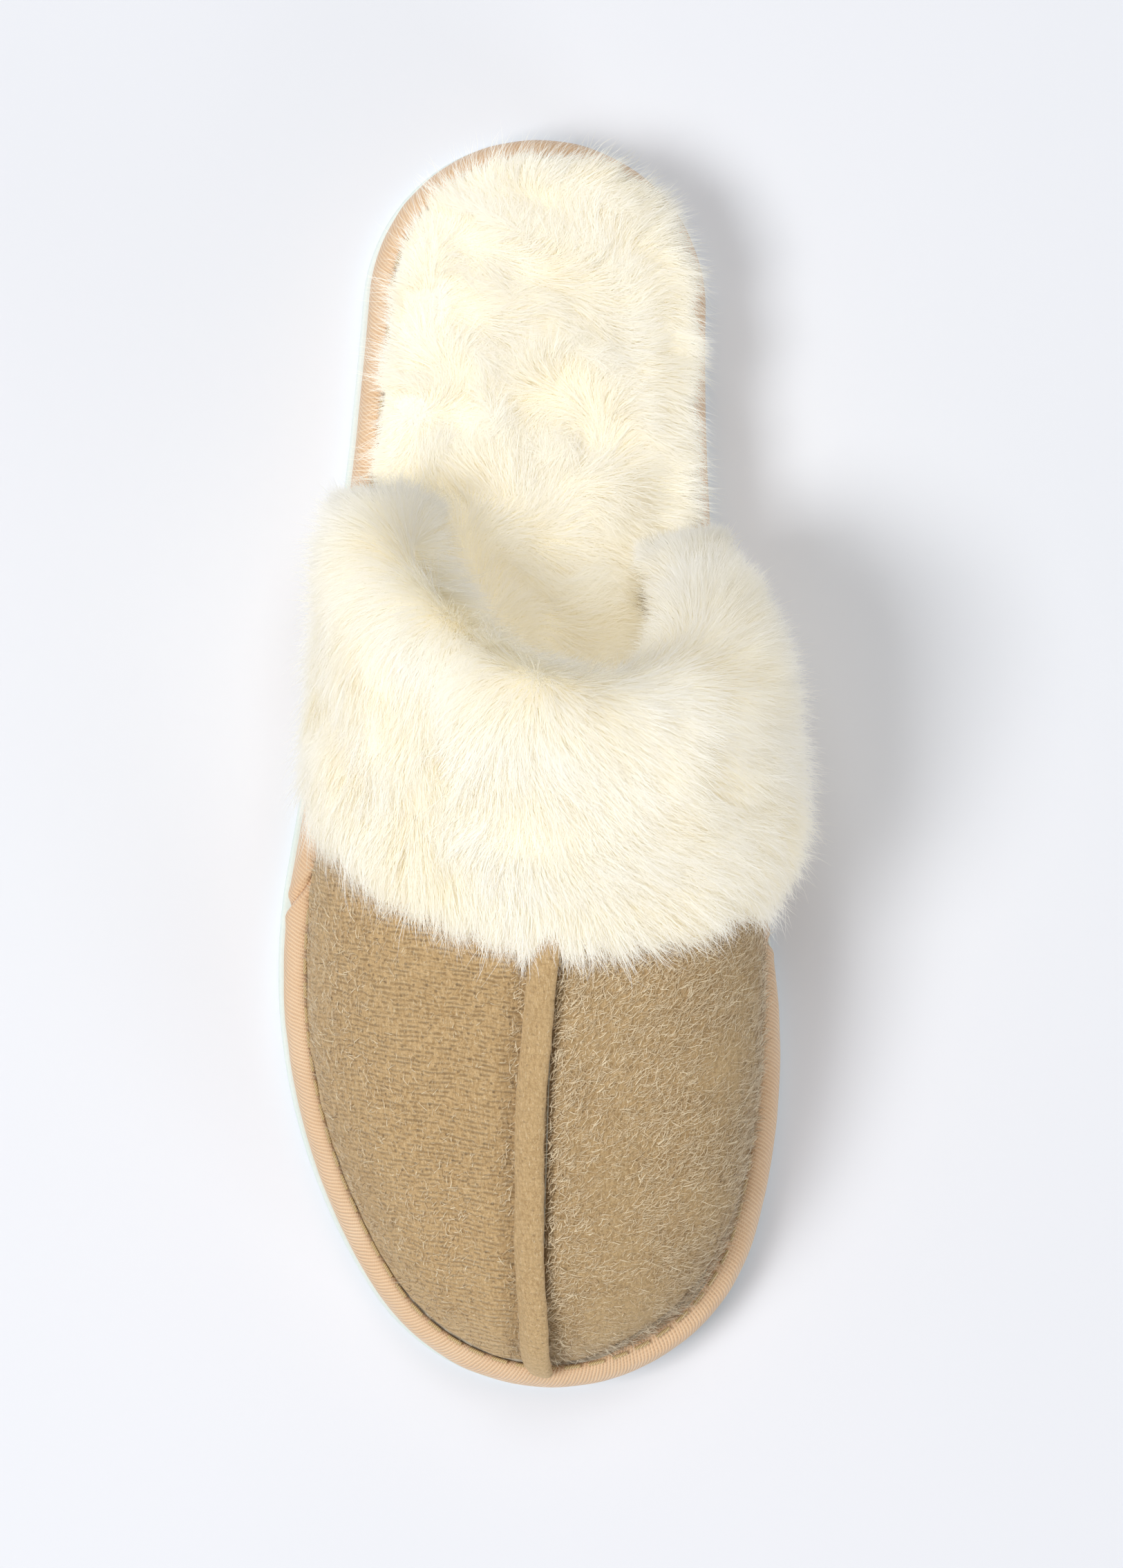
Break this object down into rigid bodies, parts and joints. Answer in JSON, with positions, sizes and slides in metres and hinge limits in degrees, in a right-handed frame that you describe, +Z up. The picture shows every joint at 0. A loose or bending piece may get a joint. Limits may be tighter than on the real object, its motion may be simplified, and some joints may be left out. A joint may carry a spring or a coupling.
{
  "type": "fluffy house slipper",
  "caption": "Open-heel house slipper for a right foot: padded suede-look vamp, deep plush collar, plush insole and a fabric-wrapped foam platform on a thin outsole.",
  "frame": {"origin": "on the tread's flat waist, midway along the sole", "axes": "+Z up, +Y towards the heel, -Y towards the toe, +X towards the big-toe side"},
  "size_m": [0.1081, 0.2566, 0.0825],
  "materials": {
    "outsole_white": "matte",
    "platform_foam": "matte",
    "wrap_satin": "satin",
    "board_cloth": "matte",
    "soft_foam": "matte",
    "plush_cream": "matte",
    "suede_tan": "matte",
    "thread_gold": "matte"
  },
  "bodies": {
    "root": {"outsole": "outsole_white", "platform_foam": "platform_foam", "wrap_toe": "wrap_satin", "wrap_heel": "wrap_satin", "insole_board": "board_cloth", "footbed_foam": "soft_foam", "insole_fur": "plush_cream", "vamp_lateral": "suede_tan", "vamp_medial": "suede_tan", "centre_welt": "suede_tan", "vamp_foam": "soft_foam", "vamp_lining_fur": "plush_cream", "collar_fur": "plush_cream", "topline_tape": "board_cloth", "perimeter_stitches": "thread_gold", "wrap_join_stitches": "thread_gold", "collar_seam_stitches": "thread_gold", "mouth_seam_stitches": "thread_gold", "centre_seam_stitches": "thread_gold"}
  },
  "joints": []
}
